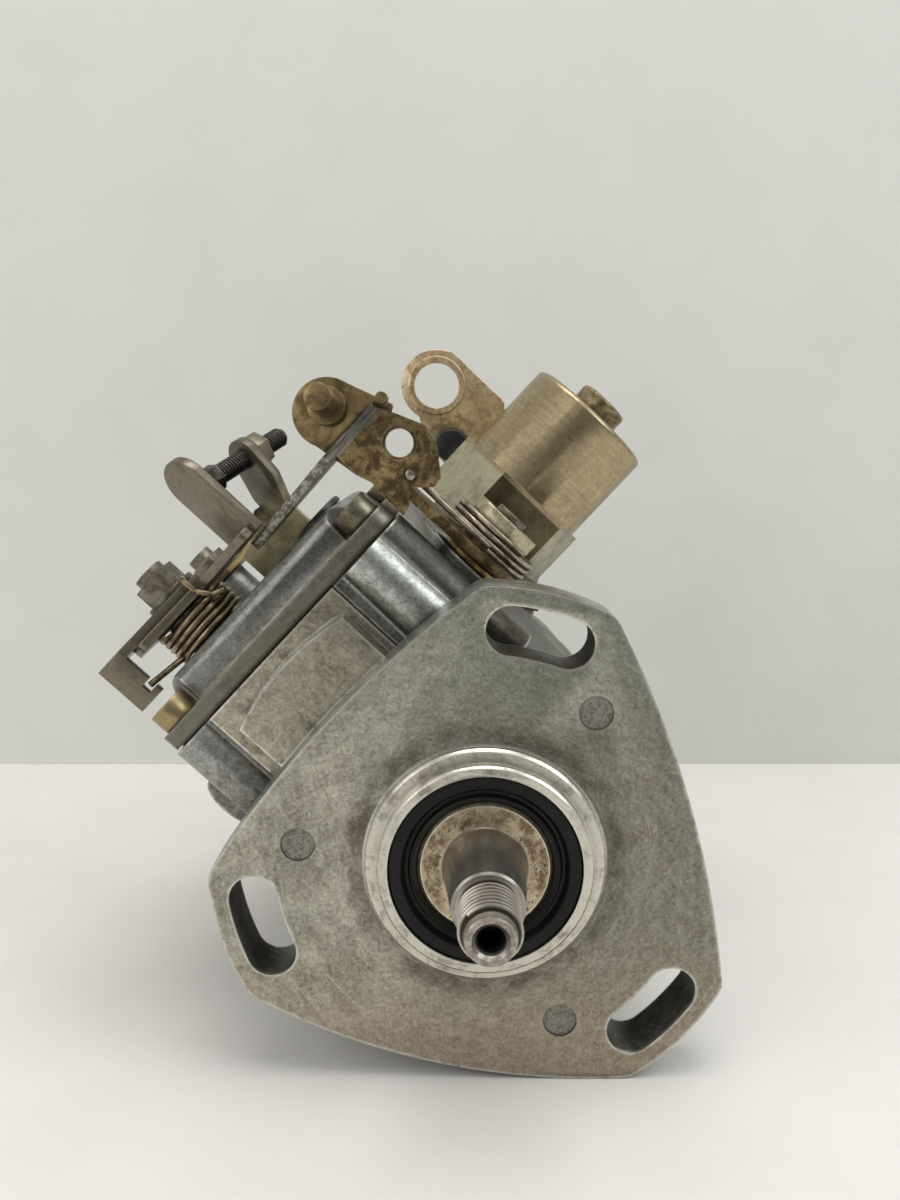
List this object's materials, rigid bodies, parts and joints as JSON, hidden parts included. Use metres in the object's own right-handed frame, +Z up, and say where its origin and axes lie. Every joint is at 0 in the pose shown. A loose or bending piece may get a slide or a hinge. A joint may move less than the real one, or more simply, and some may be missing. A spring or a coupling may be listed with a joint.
{
  "type": "diesel injection pump",
  "caption": "Rotary distributor diesel injection pump: slotted flange, taper drive shaft, governor cover with throttle and stop levers, stop solenoid, hydraulic head with outlet unions.",
  "frame": {"origin": "centre of the drive shaft at the flange's mounting face", "axes": "+Y runs along the drive shaft away from the engine's gear; +Z is up as the pump lies on the edge of its flange, rolled 46.9 degrees about the shaft; X is across"},
  "size_m": [0.1482, 0.2035, 0.1604],
  "materials": {
    "cast_housing": "sand-cast, dull blue-grey",
    "cover_casting": "sand-cast, dull blue-grey",
    "gasket_fibre": "matt black fibre",
    "steel_dark": "ground steel with brown storage film",
    "steel_bright": "ground steel",
    "zinc_yellow": "passivated zinc plate",
    "zinc_old": "worn brown zinc plate",
    "zinc_pale": "pale zinc plate, satin",
    "rubber_black": "moulded rubber",
    "plastic_black": "moulded plastic",
    "insulator_brown": "moulded resin",
    "bronze": "sintered bronze",
    "spring_steel": "drawn wire"
  },
  "bodies": {
    "housing": {"pump_housing": "cast_housing", "governor_cover": "cover_casting", "cover_gasket": "gasket_fibre", "cover_screws": "zinc_pale", "cover_plug": "plastic_black", "return_union": "zinc_yellow", "shaft_seal": "rubber_black", "shaft_bush": "bronze", "governor_pivot": "steel_bright", "hydraulic_head": "steel_dark", "outlet_unions": "zinc_yellow", "advance_caps": "zinc_pale", "advance_spring": "spring_steel", "transfer_liner": "steel_bright", "end_plate": "cast_housing", "end_plate_screws": "zinc_pale", "inlet_union": "zinc_yellow", "solenoid_body": "zinc_pale", "solenoid_terminal": "insulator_brown", "eye_bracket": "zinc_old", "clip_screw": "plastic_black", "hex_bolts": "zinc_yellow", "stop_bracket": "zinc_yellow", "bracket_screw": "zinc_pale", "stop_screw": "zinc_pale", "stop_screw_nut": "zinc_pale", "fast_idle_bush": "bronze"},
    "drive": {"drive_shaft": "steel_dark", "weight_cage": "steel_bright", "distributor_rotor": "steel_bright", "transfer_rotor": "steel_bright", "transfer_blades": "steel_bright"},
    "element_a": {"pumping_plunger_a": "steel_bright", "roller_shoe_a": "steel_bright"},
    "element_b": {"pumping_plunger_b": "steel_bright", "roller_shoe_b": "steel_bright"},
    "weight_1": {"governor_weight_1": "steel_dark"},
    "weight_2": {"governor_weight_2": "steel_dark"},
    "weight_3": {"governor_weight_3": "steel_dark"},
    "weight_4": {"governor_weight_4": "steel_dark"},
    "sleeve": {"thrust_sleeve": "steel_bright"},
    "arm": {"governor_arm": "zinc_pale"},
    "rod": {"linkage_rod": "steel_bright"},
    "valve": {"metering_valve": "steel_bright"},
    "cam": {"cam_ring": "steel_bright", "advance_pin": "steel_bright"},
    "piston": {"advance_piston": "steel_bright"},
    "armature": {"solenoid_plunger": "steel_bright"},
    "throttle": {"throttle_spindle": "steel_dark", "throttle_lever": "steel_dark", "spring_anchor_plate": "zinc_old", "spindle_nut": "zinc_pale", "throttle_spring": "spring_steel"},
    "stop": {"stop_spindle": "steel_dark", "stop_lever": "zinc_old"},
    "fast_idle": {"fast_idle_lever": "zinc_old", "cable_arm": "zinc_old", "fast_idle_shaft": "steel_bright", "fast_idle_nut": "zinc_pale", "fast_idle_spring": "spring_steel"}
  },
  "joints": [
    {"name": "drive_turn", "type": "hinge", "parent": "housing", "child": "drive", "pos_m": [0, 0, 0], "axis": [0, 1, 0], "continuous": true},
    {"name": "element_a_slide", "type": "slide", "parent": "drive", "child": "element_a", "axis": [0.6833, 0, 0.7302], "range_m": [0, 0.0015]},
    {"name": "element_b_slide", "type": "slide", "parent": "drive", "child": "element_b", "axis": [-0.6833, 0, -0.7302], "range_m": [0, 0.0015]},
    {"name": "sleeve_slide", "type": "slide", "parent": "drive", "child": "sleeve", "axis": [0, 1, 0], "range_m": [0, 0.0017], "stiffness_N_per_m": 800},
    {"name": "weight_1_swing", "type": "hinge", "parent": "drive", "child": "weight_1", "pos_m": [0.0164, 0.043, 0.01752], "axis": [0.7302, 0, -0.6833], "range_deg": [0, 10]},
    {"name": "weight_2_swing", "type": "hinge", "parent": "drive", "child": "weight_2", "pos_m": [-0.01752, 0.043, 0.0164], "axis": [0.6833, 0, 0.7302], "range_deg": [0, 10]},
    {"name": "weight_3_swing", "type": "hinge", "parent": "drive", "child": "weight_3", "pos_m": [-0.0164, 0.043, -0.01752], "axis": [-0.7302, 0, 0.6833], "range_deg": [0, 10]},
    {"name": "weight_4_swing", "type": "hinge", "parent": "drive", "child": "weight_4", "pos_m": [0.01752, 0.043, -0.0164], "axis": [-0.6833, 0, -0.7302], "range_deg": [0, 10]},
    {"name": "arm_swing", "type": "hinge", "parent": "housing", "child": "arm", "pos_m": [-0.02044, 0.0648, 0.01913], "axis": [0.6833, 0, 0.7302], "range_deg": [0, 3.6]},
    {"name": "rod_slide", "type": "slide", "parent": "housing", "child": "rod", "axis": [0, -1, 0], "range_m": [0, 0.0014]},
    {"name": "valve_turn", "type": "hinge", "parent": "housing", "child": "valve", "pos_m": [-0.02921, 0.093, 0.02733], "axis": [0.7302, 0, -0.6833], "range_deg": [0, 11.5]},
    {"name": "piston_slide", "type": "slide", "parent": "housing", "child": "piston", "axis": [0.6833, 0, 0.7302], "range_m": [0, 0.007], "stiffness_N_per_m": 1500, "deforming": ["advance_spring"]},
    {"name": "cam_turn", "type": "hinge", "parent": "housing", "child": "cam", "pos_m": [0, 0.079, 0], "axis": [0, -1, 0], "range_deg": [0, 10]},
    {"name": "armature_slide", "type": "slide", "parent": "housing", "child": "armature", "axis": [0.6833, 0, 0.7302], "range_m": [0, 0.002], "stiffness_N_per_m": 600, "springref_m": -0.004},
    {"name": "throttle_turn", "type": "hinge", "parent": "housing", "child": "throttle", "pos_m": [-0.06935, 0.05, 0.04298], "axis": [-0.7302, 0, 0.6833], "range_deg": [-45, 0], "stiffness_Nm_per_rad": 0.15, "springref_deg": 28.65, "deforming": ["throttle_spring"]},
    {"name": "stop_turn", "type": "hinge", "parent": "housing", "child": "stop", "pos_m": [-0.06661, 0.082, 0.0459], "axis": [-0.7302, 0, 0.6833], "range_deg": [0, 40], "stiffness_Nm_per_rad": 0.08, "springref_deg": -28.65},
    {"name": "fast_idle_turn", "type": "hinge", "parent": "housing", "child": "fast_idle", "pos_m": [-0.0016, 0.04, 0.05902], "axis": [0.6833, 0, 0.7302], "range_deg": [0, 15], "stiffness_Nm_per_rad": 0.2, "springref_deg": -28.65, "deforming": ["fast_idle_spring"]}
  ],
  "couplings": [
    {"joint": "element_b_slide", "follows": "element_a_slide", "ratio": 1},
    {"joint": "weight_1_swing", "follows": "sleeve_slide", "rad_per_m": 100},
    {"joint": "weight_2_swing", "follows": "sleeve_slide", "rad_per_m": 100},
    {"joint": "weight_3_swing", "follows": "sleeve_slide", "rad_per_m": 100},
    {"joint": "weight_4_swing", "follows": "sleeve_slide", "rad_per_m": 100},
    {"joint": "arm_swing", "follows": "sleeve_slide", "rad_per_m": 35.714},
    {"joint": "rod_slide", "follows": "sleeve_slide", "ratio": 0.78571},
    {"joint": "valve_turn", "follows": "sleeve_slide", "rad_per_m": 112.24},
    {"joint": "cam_turn", "follows": "piston_slide", "rad_per_m": 24.39}
  ]
}
